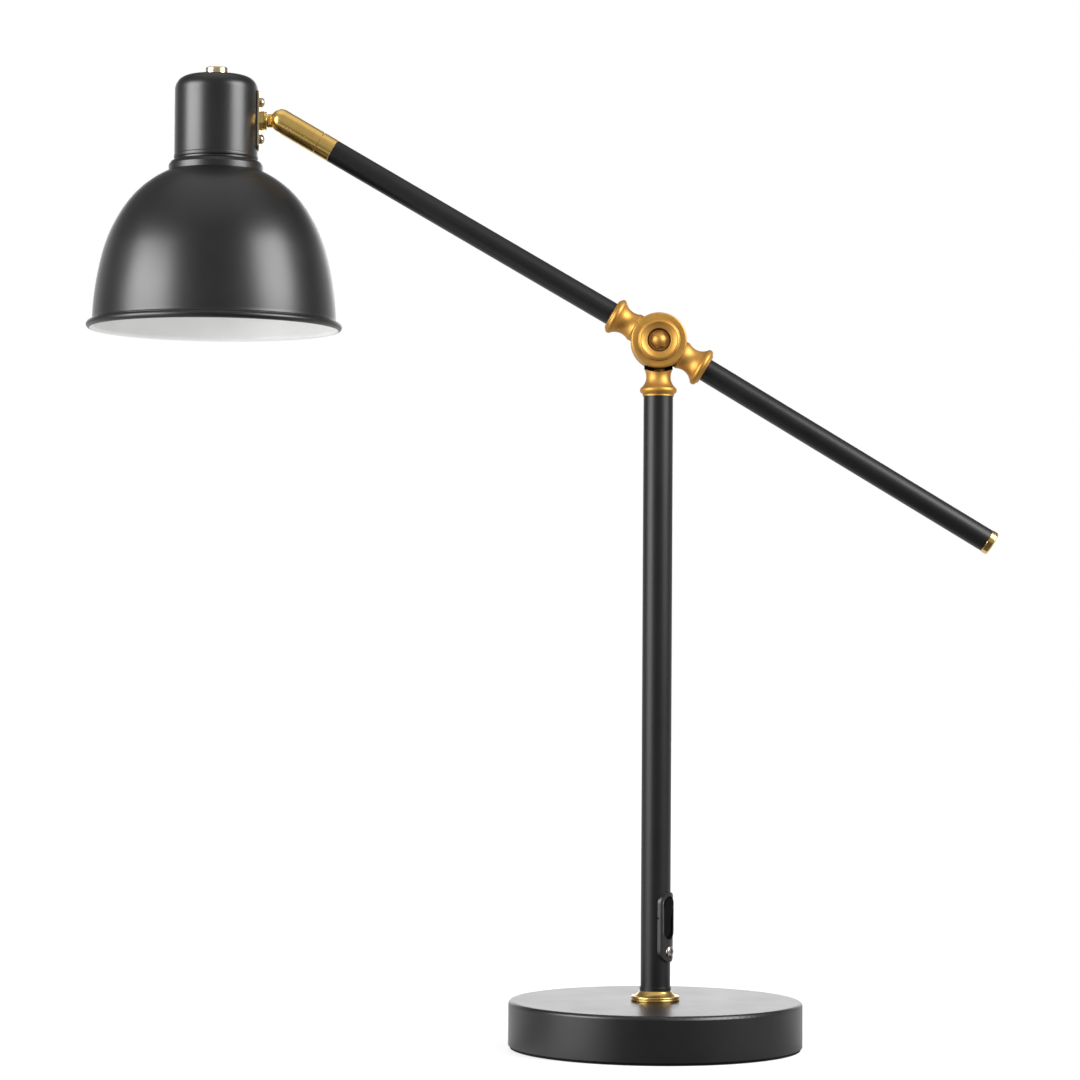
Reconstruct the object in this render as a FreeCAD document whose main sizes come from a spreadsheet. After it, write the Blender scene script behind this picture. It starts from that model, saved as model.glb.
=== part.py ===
import FreeCAD, Part
import Sketcher
import math
import os
from FreeCAD import Vector, Rotation, Placement

# ---------------------------------------------------------------------------
# Counterweight balance desk lamp.
# Frame: origin at the centre of the base's underside, +Z up, +X towards the
# counterweight, +Y away from the side with the switch.  Millimetres.
# Stand = base, column and rear half of the pivot.  Arm = front half of the
# pivot with both tubes.  Swivel = barrel on the end of the long tube.
# Head = stem, cap, socket, bulb and shade.
# ---------------------------------------------------------------------------
doc = FreeCAD.newDocument("desk_lamp")
sheet = doc.addObject("Spreadsheet::Sheet", "Dims")
VALUES = {}
ROWS = [
    # base
    ("base_r", 79.3), ("felt_r", 78.3), ("felt_thick", 1.5), ("base_top", 25.4),
    ("base_edge", 2.0), ("shell_wall", 1.4), ("weight_r", 77.5), ("weight_top", 15.5),
    ("weight_boss_r", 22.0), ("nut_recess_r", 16.0), ("nut_recess_top", 9.5),
    ("cord_way", 9.4), ("inlet_z", 7.0), ("inlet_bore_r", 3.1), ("inlet_neck_r", 4.4),
    ("inlet_flange_r", 5.4),
    ("collar_rad", 13.0), ("collar_bore", 8.0), ("collar_seat", 27.2), ("collar_top", 30.8),
    ("nipple_r", 5.0), ("nipple_bore", 3.2), ("ring_r", 8.45), ("ring_tall", 2.2),
    # column
    ("col_r", 8.0), ("col_wall", 1.3), ("hub_z", 382.0),
    # pivot
    ("disc_r", 15.05), ("disc_face", 8.4), ("boss_face", 10.2), ("boss_r", 11.2),
    ("recess_r", 6.25), ("recess_face", 5.6), ("pivot_r", 2.5), ("pivot_gap", 0.1),
    ("scoop_r", 16.9), ("waist_r", 7.75), ("bead_r", 10.0), ("ferrule_end", 29.4),
    ("ferrule_curve", 7.8), ("bead_curve", 1.9), ("wire_bore", 3.0),
    # arms
    ("arm_up", 30.0), ("arm_down", 31.0), ("tube_r", 6.35), ("tube_bore", 5.35),
    ("long_end", 205.3), ("collar_end", 213.8), ("trim_r", 6.45),
    ("short_end", 208.1), ("cap_end", 211.8), ("cap_rad", 6.7),
    ("weight_rod_r", 5.25), ("weight_rod_len", 160.0),
    # swivel
    ("swivel_s", 237.9), ("ball_r", 5.0), ("seat_r", 5.08), ("slot_w", 5.9),
    ("neck_r", 3.65), ("neck_flat", 2.75), ("stem_flange_r", 4.9),
    # head
    ("head_off", 35.4), ("head_drop", 114.3), ("shade_wall", 0.9), ("rim_rad", 69.3),
    ("rim_tube", 2.0), ("neck_ring", 25.6), ("neck_top", 92.2), ("cap_r", 22.65),
    ("cap_wall", 1.2), ("cap_top", 138.3), ("cap_round", 7.8), ("finial_r", 6.3),
    ("finial_top", 143.2), ("plate_t", 0.9), ("plate_w", 9.0), ("plate_tall", 31.4),
    ("plate_in", 22.8), ("screw_pitch", 20.1), ("socket_r", 16.5),
    # switch
    ("switch_turn", 36.0), ("bezel_r", 9.35), ("bezel_w", 12.0), ("bezel_tall", 37.4),
    ("bezel_mid", 65.3), ("window_w", 8.6), ("window_tall", 23.4), ("window_mid", 70.2),
    ("rocker_w", 7.9), ("rocker_tall", 22.3), ("rocker_tip", 4.0), ("screw_z", 52.0),
]
for i, (name, val) in enumerate(ROWS):
    sheet.set("A%d" % (i + 1), name)
    sheet.set("B%d" % (i + 1), repr(val))
    sheet.setAlias("B%d" % (i + 1), name)
    VALUES[name] = val
doc.recompute()


class Q:
    """A size: its number, and the expression that gives it from the sheet."""

    def __init__(self, v, e):
        self.v = float(v)
        self.e = e

    def __add__(self, o):
        o = q(o)
        return Q(self.v + o.v, "(%s + %s)" % (self.e, o.e))

    __radd__ = __add__

    def __sub__(self, o):
        o = q(o)
        return Q(self.v - o.v, "(%s - %s)" % (self.e, o.e))

    def __rsub__(self, o):
        return q(o) - self

    def __mul__(self, o):
        o = q(o)
        return Q(self.v * o.v, "(%s * %s)" % (self.e, o.e))

    __rmul__ = __mul__

    def __truediv__(self, o):
        o = q(o)
        return Q(self.v / o.v, "(%s / %s)" % (self.e, o.e))

    def __neg__(self):
        return Q(-self.v, "(0 - %s)" % self.e)


def q(x):
    return x if isinstance(x, Q) else Q(x, "%.6f" % x if x >= 0 else "(0 - %.6f)" % -x)


def D(name):
    return Q(VALUES[name], "Dims." + name)


def bind(obj, prop, size):
    size = q(size)
    if "Dims." in size.e:
        obj.setExpression(prop, size.e)
    else:
        setattr(obj, prop, size.v)


# ------------------------------------------------------------------ frames
UP = D("arm_up")
COS = Q(math.cos(math.radians(UP.v)), "cos(Dims.arm_up * 1 deg)")
SIN = Q(math.sin(math.radians(UP.v)), "sin(Dims.arm_up * 1 deg)")
HUB = (q(0), q(0), D("hub_z"))
PIV = (-(D("swivel_s") * COS), q(0), D("hub_z") + D("swivel_s") * SIN)
HEAD = (PIV[0] - D("head_off"), q(0), PIV[2] - D("head_drop"))
FRAMES = {
    "base": ((q(0), q(0), q(0)), (0, 0, 1), q(0)),
    "hub": (HUB, (0, 0, 1), q(0)),
    "long": (HUB, (0, -1, 0), 90 - UP),
    "short": (HUB, (0, 1, 0), 90 + D("arm_down")),
    "head": (HEAD, (0, 0, 1), q(0)),
    "stem": (PIV, (0, -1, 0), q(90)),
    "switch": ((q(0), q(0), q(0)), (0, 0, -1), D("switch_turn")),
}


def place(obj, frame):
    pos, axis, ang = FRAMES[frame]
    obj.Placement = Placement(Vector(pos[0].v, pos[1].v, pos[2].v),
                              Rotation(Vector(*axis), ang.v))
    for k, s in zip("xyz", pos):
        if "Dims." in s.e:
            obj.setExpression("Placement.Base." + k, s.e)
    if "Dims." in ang.e:
        obj.setExpression("Placement.Rotation.Angle", ang.e)


# ---------------------------------------------------------------- sketches
def origin_plane(body, role):
    return [f for f in body.Origin.OriginFeatures if f.Role == role][0]


def circle_centre(a, b, r):
    """Centre of the arc from a to b; r > 0 turns left, r < 0 turns right."""
    mx, my = (a[0] + b[0]) / 2, (a[1] + b[1]) / 2
    dx, dy = b[0] - a[0], b[1] - a[1]
    d = math.hypot(dx, dy)
    k = math.sqrt(max(r * r - d * d / 4, 0.0)) / d
    side = 1 if r > 0 else -1
    return mx - side * dy * k, my + side * dx * k


def sketch(body, name, plane, loops, turn=None, lift=None):
    """A closed loop is a list of (x, y) or (x, y, r): r curves the edge that
    arrives at the point.  A circle is ("o", cx, cy, radius)."""
    sk = body.newObject("Sketcher::SketchObject", name)
    sk.AttachmentSupport = [(origin_plane(body, plane), "")]
    sk.MapMode = "FlatFace"
    axis, ang = (turn if turn else ((0, 0, 1), q(0)))
    off = q(lift if lift is not None else 0)
    sk.AttachmentOffset = Placement(Vector(0, 0, off.v), Rotation(Vector(*axis), ang.v))
    if "Dims." in ang.e:
        sk.setExpression("AttachmentOffset.Rotation.Angle", ang.e)
    if "Dims." in off.e:
        sk.setExpression("AttachmentOffset.Base.z", off.e)

    def hold(kind, gi, pos, size):
        if abs(size.v) < 1e-9:
            sk.addConstraint(Sketcher.Constraint("PointOnObject", gi, pos,
                                                 -2 if kind == "DistanceX" else -1))
            return
        if size.v > 0:
            c = sk.addConstraint(Sketcher.Constraint(kind, -1, 1, gi, pos, size.v))
            e = size
        else:
            c = sk.addConstraint(Sketcher.Constraint(kind, gi, pos, -1, 1, -size.v))
            e = -size
        if "Dims." in e.e:
            sk.setExpression("Constraints[%d]" % c, e.e)

    for loop in loops:
        if loop[0] == "o":
            cx, cy, rad = q(loop[1]), q(loop[2]), q(loop[3])
            g = sk.addGeometry(Part.Circle(Vector(cx.v, cy.v, 0), Vector(0, 0, 1), rad.v))
            hold("DistanceX", g, 3, cx)
            hold("DistanceY", g, 3, cy)
            c = sk.addConstraint(Sketcher.Constraint("Radius", g, rad.v))
            if "Dims." in rad.e:
                sk.setExpression("Constraints[%d]" % c, rad.e)
            continue
        pts = [(q(p[0]), q(p[1]), q(p[2]) if len(p) > 2 else None) for p in loop]
        n = len(pts)
        segs = []
        for i in range(n):
            a, b = pts[i], pts[(i + 1) % n]
            va, vb = (a[0].v, a[1].v), (b[0].v, b[1].v)
            if b[2] is None:
                g = sk.addGeometry(Part.LineSegment(Vector(va[0], va[1], 0), Vector(vb[0], vb[1], 0)))
                segs.append((g, 1, 2))
            else:
                r = b[2].v
                cx, cy = circle_centre(va, vb, r)
                a0 = math.atan2(va[1] - cy, va[0] - cx)
                a1 = math.atan2(vb[1] - cy, vb[0] - cx)
                circ = Part.Circle(Vector(cx, cy, 0), Vector(0, 0, 1), abs(r))
                if r > 0:
                    while a1 < a0:
                        a1 += 2 * math.pi
                    g = sk.addGeometry(Part.ArcOfCircle(circ, a0, a1))
                    segs.append((g, 1, 2))
                else:
                    while a0 < a1:
                        a0 += 2 * math.pi
                    g = sk.addGeometry(Part.ArcOfCircle(circ, a1, a0))
                    segs.append((g, 2, 1))
        for i in range(n):
            g0, s0, e0 = segs[i]
            g1, s1, e1 = segs[(i + 1) % n]
            sk.addConstraint(Sketcher.Constraint("Coincident", g0, e0, g1, s1))
        for i in range(n):
            g, s, e = segs[i]
            hold("DistanceX", g, s, pts[i][0])
            hold("DistanceY", g, s, pts[i][1])
            rr = pts[(i + 1) % n][2]
            if rr is not None:
                c = sk.addConstraint(Sketcher.Constraint("Radius", g, abs(rr.v)))
                if "Dims." in rr.e:
                    sk.setExpression("Constraints[%d]" % c, rr.e if rr.v > 0 else (-rr).e)
    return sk


def body(label):
    b = doc.addObject("PartDesign::Body", label)
    b.Label = label
    return b


def revolve(b, name, loops, plane="XZ_Plane", turn=None, cut=False):
    sk = sketch(b, name + "_sketch", plane, loops, turn)
    f = b.newObject("PartDesign::Groove" if cut else "PartDesign::Revolution", name)
    f.Profile = sk
    f.ReferenceAxis = (sk, ["V_Axis"])
    f.Angle = 360
    doc.recompute()
    return f


def pad(b, name, loops, length, plane="XY_Plane", lift=None, turn=None, both=False, back=False):
    sk = sketch(b, name + "_sketch", plane, loops, turn, lift)
    f = b.newObject("PartDesign::Pad", name)
    f.Profile = sk
    bind(f, "Length", length)
    f.Midplane = both
    f.Reversed = back
    doc.recompute()
    return f


def pocket(b, name, loops, length, plane="XY_Plane", lift=None, turn=None, both=False, back=False):
    before = b.Shape.Volume
    sk = sketch(b, name + "_sketch", plane, loops, turn, lift)
    f = b.newObject("PartDesign::Pocket", name)
    f.Profile = sk
    bind(f, "Length", length)
    f.Midplane = both
    f.Reversed = back
    doc.recompute()
    after = b.Shape.Volume
    if not after < before - 1e-4:
        raise RuntimeError("pocket %s in %s cuts nothing" % (name, b.Label))
    return f


NODES = []


def node(obj, frame=None):
    if frame:
        place(obj, frame)
    NODES.append(obj)
    return obj


def turned(label, loop, frame, plane="XZ_Plane"):
    """A piece made on the lathe: loop of (radius, height), about its own Z."""
    b = body(label)
    revolve(b, label + "_turn", [loop], plane)
    return node(b, frame)


def ring_loop(r0, r1, z0, z1):
    return [(r0, z0), (r1, z0), (r1, z1), (r0, z1)]


def hexagon(af, cx=0.0, cy=0.0, spin=0.0):
    rad = q(af).v / 2 / math.cos(math.radians(30))
    return [(cx + rad * math.cos(math.radians(60 * k + spin)),
             cy + rad * math.sin(math.radians(60 * k + spin))) for k in range(6)]


def stadium(w, tall, cy=0.0, cx=0.0):
    """Upright slot outline with round ends, w wide and tall high."""
    w, tall, cy, cx = q(w), q(tall), q(cy), q(cx)
    hw = w / 2
    hs = tall / 2 - hw
    return [(cx + hw, cy + hs), (cx, cy + hs + hw, hw), (cx - hw, cy + hs, hw),
            (cx - hw, cy - hs), (cx, cy - hs - hw, hw), (cx + hw, cy - hs, hw)]


def cross(size, width, cx=0.0, cy=0.0):
    a, w = size, width
    pts = [(w, w), (w, a), (-w, a), (-w, w), (-a, w), (-a, -w), (-w, -w), (-w, -a),
           (w, -a), (w, -w), (a, -w), (a, w)]
    return [(cx + x, cy + y) for x, y in pts]


# ================================================================== BASE
base_top, wall = D("base_top"), D("shell_wall")
felt_t = D("felt_thick")

b = body("base_felt_pad")
pad(b, "felt_disc", [("o", 0, 0, D("felt_r"))], felt_t)
node(b, "base")

# drawn steel cover, open below, with a rounded top edge
edge = D("base_edge")
b = body("base_shell")
revolve(b, "shell_turn", [[
    (5.15, base_top), (5.15, base_top - wall),
    (D("base_r") - edge, base_top - wall),
    (D("base_r") - wall, base_top - edge, -(edge - wall)),
    (D("base_r") - wall, felt_t), (D("base_r"), felt_t),
    (D("base_r"), base_top - edge), (D("base_r") - edge, base_top, edge)]])
# hole in the rear wall for the cord inlet
pocket(b, "inlet_hole", [("o", 0, D("inlet_z"), D("inlet_neck_r"))], 20, "XZ_Plane",
       lift=-(D("base_r") + 5), back=True)
node(b, "base")

# cast weight that fills the cover: a disc with a raised hub, a nut recess
# below and a way for the cord from the rear to that recess
b = body("base_weight")
revolve(b, "weight_turn", [[
    (5.3, D("nut_recess_top")), (D("nut_recess_r"), D("nut_recess_top")),
    (D("nut_recess_r"), felt_t), (D("weight_r"), felt_t), (D("weight_r"), D("weight_top")),
    (D("weight_boss_r"), D("weight_top")), (D("weight_boss_r"), base_top - wall),
    (5.3, base_top - wall)]])
cw = D("cord_way") / 2
pocket(b, "cord_way", [[(-cw, 10), (cw, 10), (cw, 90), (-cw, 90)]],
       D("inlet_z") + cw - felt_t, "XY_Plane", lift=felt_t, back=True)
node(b, "base")

# turned brass collar on the base
b = body("base_collar")
cr = D("collar_rad")
revolve(b, "collar_turn", [[
    (5.1, base_top), (cr - 0.4, base_top), (cr, base_top + 0.4, 0.4),
    (cr, base_top + 1.0), (cr - 0.15, base_top + 1.25), (cr, base_top + 1.5),
    (cr, base_top + 2.1), (cr - 0.6, base_top + 2.7, 0.6),
    (cr - 1.5, base_top + 2.75), (8.9, D("collar_top") - 0.3, -6.0),
    (8.6, D("collar_top")), (D("collar_bore"), D("collar_top")),
    (D("collar_bore"), D("collar_seat")), (5.1, D("collar_seat"))]])
node(b, "base")

turned("column_foot_ring", [
    (8.02, D("collar_top")), (D("ring_r"), D("collar_top")),
    (D("ring_r"), D("collar_top") + D("ring_tall") - 0.3),
    (D("ring_r") - 0.3, D("collar_top") + D("ring_tall"), 0.3),
    (8.02, D("collar_top") + D("ring_tall"))], "base")

# hollow threaded rod that draws the column, collar, cover and weight together
turned("base_nipple", ring_loop(D("nipple_bore"), D("nipple_r"), 4.2, 41.0), "base")

b = body("base_lock_nut")
pad(b, "nut_hex", [hexagon(15.0), ("o", 0, 0, D("nipple_r") + 0.02)], 3.2, lift=5.1)
node(b, "base")
turned("base_lock_washer", ring_loop(D("nipple_r") + 0.1, 11.0, D("nut_recess_top") - 1.2,
                                     D("nut_recess_top")), "base")

# rubber bush where the cord enters the back of the base
b = body("cord_inlet_bush")
br = D("base_r")
revolve(b, "bush_turn", [[
    (D("inlet_bore_r"), 0), (D("inlet_neck_r") - 0.05, 0), (D("inlet_neck_r") - 0.05, 4.6),
    (D("inlet_flange_r"), 4.6), (D("inlet_flange_r"), 6.2),
    (D("inlet_flange_r") - 0.8, 7.0, 0.8), (D("inlet_bore_r") + 0.5, 7.0),
    (D("inlet_bore_r"), 6.5, 0.5)]], "XZ_Plane")
b.Placement = Placement(Vector(0, br.v - 4.6, D("inlet_z").v), Rotation(Vector(1, 0, 0), -90))
b.setExpression("Placement.Base.y", (br - 4.6).e)
b.setExpression("Placement.Base.z", D("inlet_z").e)
node(b)

# ================================================================ COLUMN
col_r = D("col_r")
col_in = col_r - D("col_wall")
seat = 25.2
b = body("column_tube")
revolve(b, "tube_turn", [ring_loop(col_in, col_r, D("collar_seat"), D("hub_z") - seat)])
# slot and screw hole for the switch, in the wall that faces the user
pocket(b, "switch_slot", [stadium(D("window_w") + 1.5, D("window_tall") + 1.5, D("window_mid"))],
       20, "YZ_Plane", back=True)
pocket(b, "screw_hole", [("o", 0, D("screw_z"), 1.5)], 20, "YZ_Plane", back=True)
node(b, "switch")

turned("column_foot_plug", ring_loop(D("nipple_r") + 0.02, col_in, D("collar_seat"), 43.0), "base")

# ================================================================ SWITCH
bz = D("bezel_r")
b = body("switch_bezel")
pad(b, "bezel_plate", [stadium(D("bezel_w"), D("bezel_tall"), D("bezel_mid"))], 8.0,
    "YZ_Plane", lift=4.2)
# outer face is round, and so is the seat on the column
revolve(b, "bezel_face", [ring_loop(bz, 20, 40, 95)], cut=True)
revolve(b, "bezel_seat", [ring_loop(0, col_r, 40, 95)], cut=True)
pad(b, "bezel_sleeve", [stadium(D("window_w") + 1.3, D("window_tall") + 1.3, D("window_mid"))],
    8.4 - 4.6, "YZ_Plane", lift=4.6)
pocket(b, "bezel_window", [stadium(D("window_w"), D("window_tall"), D("window_mid"))],
       20, "YZ_Plane", back=True)
pocket(b, "bezel_screw_hole", [("o", 0, D("screw_z"), 1.55)], 20, "YZ_Plane", back=True)
pocket(b, "bezel_screw_seat", [("o", 0, D("screw_z"), 3.25)], 20, "YZ_Plane", lift=8.95, back=True)
pocket(b, "rocker_pin_hole", [("o", 5.5, D("window_mid"), 0.62)], 20, "XZ_Plane", both=True)
node(b, "switch")

b = body("switch_body")
pad(b, "body_block", [[(-4.2, 57.6), (4.2, 57.6), (4.2, 82.8), (-4.2, 82.8)]], 8.2,
    "YZ_Plane", lift=-4.7)
pocket(b, "body_well", [[(-3.2, 60.0), (3.2, 60.0), (3.2, 80.4), (-3.2, 80.4)]], 5,
       "YZ_Plane", lift=0.6, back=True)
node(b, "switch")

# rocker: a pill with two shallow facets that meet over its pivot pin
b = body("switch_rocker")
pad(b, "rocker_pill", [stadium(D("rocker_w"), D("rocker_tall"), 0)], 3.4, "YZ_Plane", lift=-0.4)
hl = D("rocker_tall") / 2
pocket(b, "rocker_facets", [[(2.5, 0), (3.0 + 0.35, hl + 1), (6, hl + 1), (6, -(hl + 1)),
                             (3.0 + 0.35, -(hl + 1))]], 20, "XZ_Plane", both=True)
pad(b, "rocker_keel", [[(-2.2, -5.0), (2.2, -5.0), (2.2, 5.0), (-2.2, 5.0)]], 2.4,
    "YZ_Plane", lift=-2.8)
pocket(b, "rocker_bore", [("o", 0.25, 0, 0.68)], 20, "XZ_Plane", both=True)
b.Placement = Placement(Vector(5.25, 0, 70.2), Rotation(Vector(0, 0, 1), 0))
rocker = b

turn36 = Rotation(Vector(0, 0, -1), VALUES["switch_turn"])


# the rocker rests tipped to its off side, turned about the pin
def rocker_place(obj):
    tip = Rotation(Vector(0, 1, 0), VALUES["rocker_tip"])
    pin = Vector(5.5, 0, VALUES["window_mid"])
    local = Placement(pin, tip).multiply(Placement(Vector(-0.25, 0, 0), Rotation()))
    obj.Placement = Placement(Vector(0, 0, 0), turn36).multiply(local)


rocker_place(b)
node(b)

b = body("switch_rocker_pin")
pad(b, "pin_rod", [("o", 5.5, D("window_mid"), 0.6)], D("window_w") + 1.1, "XZ_Plane", both=True)
node(b, "switch")

b = body("switch_screw")
revolve(b, "screw_turn", [[(0, -5.6), (1.5, -5.6), (1.5, 0), (3.1, 0), (3.1, 0.45),
                           (2.0, 1.25, 1.6), (0, 1.45, 9.0)]])
pocket(b, "screw_cross", [cross(1.75, 0.38)], 1.2, "XY_Plane", lift=0.35, back=True)
loc = Placement(Vector(8.95, 0, 52.0), Rotation(Vector(0, 1, 0), 90))
b.Placement = Placement(Vector(0, 0, 0), turn36).multiply(loc)
node(b)

# ============================================================= THE PIVOT
dr, face, bface = D("disc_r"), D("disc_face"), D("boss_face")


def disc_loop(side, gap):
    """Half section (radius, depth) of one pivot disc; side -1 front, 1 rear."""
    g = q(gap)
    pts = [(D("pivot_r") + D("pivot_gap"), g), (4.6, g), (4.6, 4.1), (11.6, 4.1), (11.6, g),
           (dr - 0.5, g), (dr, g + 0.5), (dr, face - 0.9), (dr - 0.9, face, 0.9),
           (D("boss_r") + 0.35, face), (D("boss_r"), face + 0.35, -0.35),
           (D("boss_r"), bface - 1.1), (D("boss_r") - 1.5, bface, 1.5),
           (D("recess_r") + 0.5, bface - 1.15, -9.0), (D("recess_r"), bface - 1.7, 0.6),
           (D("recess_r"), D("recess_face")), (D("pivot_r") + D("pivot_gap"), D("recess_face"))]
    if side > 0:
        return pts
    return [(p[0], -p[1]) if len(p) < 3 else (p[0], -p[1], -p[2]) for p in pts]


def ferrule(b, name, turn, mouth, end, lip=0.0):
    w = D("waist_r")
    e = q(end)
    loop = [(3.4, 12.0), (w, 12.0), (w, 15.4), (9.5, 25.43, -D("ferrule_curve")),
            (8.8, e - 0.85, D("bead_curve")), (8.2, e - 0.25, 1.1)]
    if lip:
        loop += [(8.5, e - 0.2), (8.5, e + lip), (mouth, e + lip)]
    else:
        loop += [(7.5, e), (mouth, e)]
    loop += [(mouth, 25.2), (3.4, 25.2)]
    return revolve(b, name, [loop], "XZ_Plane", turn)


LONG_TURN = ((0, 0, 1), 90 - UP)
SHORT_TURN = ((0, 0, -1), 90 + D("arm_down"))
DOWN_TURN = ((0, 0, 1), q(180))

# front casting: disc and the two ferrules of the arm
b = body("arm_knuckle")
revolve(b, "front_disc", [disc_loop(-1, 0.3)], "XY_Plane")
ferrule(b, "long_ferrule", LONG_TURN, D("tube_r"), D("ferrule_end"))
ferrule(b, "short_ferrule", SHORT_TURN, D("tube_r"), D("ferrule_end") + 0.5)
revolve(b, "rear_scoop", [[(0, -0.3), (D("scoop_r"), -0.3), (D("scoop_r"), 30), (0, 30)]],
        "XY_Plane", cut=True)
for nm, tn in (("long_wire_way", LONG_TURN), ("short_wire_way", SHORT_TURN)):
    revolve(b, nm, [ring_loop(0, D("wire_bore") if nm[0] == "l" else 2.0, 8.0, 27.0)],
            "XZ_Plane", tn, cut=True)
node(b, "hub")

# rear casting: disc and the ferrule of the column
b = body("column_knuckle")
revolve(b, "rear_disc", [disc_loop(1, 0.25)], "XY_Plane")
ferrule(b, "column_ferrule", DOWN_TURN, col_r, D("ferrule_end"), lip=0.6)
revolve(b, "front_scoop", [[(0, 0.25), (D("scoop_r"), 0.25), (D("scoop_r"), -30), (0, -30)]],
        "XY_Plane", cut=True)
revolve(b, "column_wire_way", [ring_loop(0, D("wire_bore"), 8.0, 27.0)], "XZ_Plane", DOWN_TURN, cut=True)
node(b, "hub")

# sleeves inside the tubes that the castings are screwed to
turned("column_top_sleeve", ring_loop(4.0, col_in, D("hub_z") - 50.0, D("hub_z") - seat), "base")

# two-core leads inside the tubes; their ends at the joints are left short
LEAD = 1.9
turned("supply_lead", [(0, 11.5), (LEAD, 11.5), (LEAD, 57.2), (0, 57.2)], "base")
turned("column_lead", [(0, 83.2), (LEAD, 83.2), (LEAD, 346.0), (0, 346.0)], "base")
turned("long_arm_lead", [(0, 33.0), (LEAD, 33.0), (LEAD, 205.0), (0, 205.0)], "long")

b = body("hub_bolt")
rf = D("recess_face")
revolve(b, "bolt_turn", [[(0, rf + 0.8), (D("pivot_r"), rf + 0.8), (D("pivot_r"), -10.4),
                          (0, -10.4)]], "XY_Plane")
pad(b, "bolt_head", [hexagon(8.0)], 3.2, "XZ_Plane", lift=-(rf + 0.8), back=True)
node(b, "hub")

b = body("hub_cap_nut")
pad(b, "nut_hex", [hexagon(8.0, spin=12)], 2.7, "XZ_Plane", lift=rf + 0.85)
revolve(b, "nut_dome", [[(0, -(rf + 3.4)), (3.75, -(rf + 3.4)), (3.75, -(rf + 4.1)),
                         (0, -(rf + 6.3), -4.35)]], "XY_Plane")
revolve(b, "nut_bore", [ring_loop(0, D("pivot_r") + 0.01, -12.0 + 1.55, 0)], "XY_Plane", cut=True)
node(b, "hub")

b = body("hub_friction_disc")
revolve(b, "friction_turn", [ring_loop(2.7, 4.5, -0.25, 0.25)], "XY_Plane")
node(b, "hub")
b = body("hub_seal_ring")
revolve(b, "seal_turn", [ring_loop(11.8, 14.3, -0.25, 0.25)], "XY_Plane")
node(b, "hub")
b = body("hub_front_washer")
revolve(b, "washer_turn", [ring_loop(2.6, 5.6, -(rf + 0.85), -(rf + 0.05))], "XY_Plane")
node(b, "hub")
b = body("hub_rear_washer")
revolve(b, "washer_turn2", [ring_loop(2.6, 5.6, rf, rf + 0.8)], "XY_Plane")
node(b, "hub")

# ================================================================== ARMS
tr, tb = D("tube_r"), D("tube_bore")
turned("long_arm_tube", ring_loop(tb, tr, seat, D("long_end")), "long")
turned("counter_arm_tube", ring_loop(tb, tr, seat, D("short_end")), "short")
turned("long_arm_sleeve", ring_loop(2.8, tb, seat, 45.0), "long")
turned("counter_arm_sleeve", ring_loop(2.0, tb, seat, 45.0), "short")
turned("counterweight_rod", [
    (0, D("short_end") - 2.0 - D("weight_rod_len")),
    (D("weight_rod_r") - 0.5, D("short_end") - 2.0 - D("weight_rod_len")),
    (D("weight_rod_r"), D("short_end") - 1.5 - D("weight_rod_len")),
    (D("weight_rod_r"), D("short_end") - 8.0), (0, D("short_end") - 8.0)], "short")

# turned end cap with a plug that enters the tube
cp = D("cap_rad")
turned("counter_arm_end_cap", [
    (0, D("short_end") - 8.0), (tb - 0.3, D("short_end") - 8.0), (tb, D("short_end") - 7.5),
    (tb, D("short_end")), (cp - 0.25, D("short_end")), (cp, D("short_end") + 0.25),
    (cp, D("cap_end") - 0.9), (cp - 0.9, D("cap_end"), 0.9), (0, D("cap_end"))], "short")

# fixed brass collar at the outer end of the long tube, bored for the swivel
tq = D("trim_r")
ce = D("collar_end")
turned("long_arm_collar", [
    (2.7, 194.0), (tb - 0.3, 194.0), (tb, 194.5), (tb, D("long_end")), (tq - 0.15, D("long_end")),
    (tq, D("long_end") + 0.15), (tq, ce - 0.2), (tq - 0.2, ce), (4.45, ce),
    (4.45, 210.6), (5.3, 210.6), (5.3, 209.5), (4.45, 209.5), (4.45, 206.6), (2.7, 206.6)], "long")

# barrel that turns on that collar; its round end holds the ball of the stem
sp = D("swivel_s")
b = body("swivel_barrel")
revolve(b, "barrel_turn", [[
    (2.7, 206.9), (4.35, 206.9), (4.35, 209.55), (3.85, 209.55), (3.85, 210.55), (4.35, 210.55),
    (4.35, ce + 0.15), (tq - 0.2, ce + 0.15), (tq, ce + 0.35), (tq, sp), (0, sp + tq, tq),
    (0, sp + D("seat_r")), (D("seat_r"), sp, -D("seat_r")), (D("seat_r"), 223.5), (2.7, 223.5)]])
# slot in the round end, from the upper side round to the underside
far = 14.0
loop = [(0, sp)]
for k in range(7):
    a = math.radians(-52.0 + k * (117.0 + 52.0) / 6)
    loop.append((-far * math.sin(a), sp + far * math.cos(a)))
pocket(b, "barrel_slot", [loop[::-1]], D("slot_w"), "XZ_Plane", both=True)
node(b, "long")

b = turned("swivel_retaining_ring", ring_loop(3.9, 5.15, 209.7, 210.4), "long")

turned("swivel_seat_cup", [
    (2.6, 229.0), (4.98, 229.0), (4.98, 234.2),
    (3.55, 234.2), (2.6, sp - 4.35, -5.06)], "long")

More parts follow.
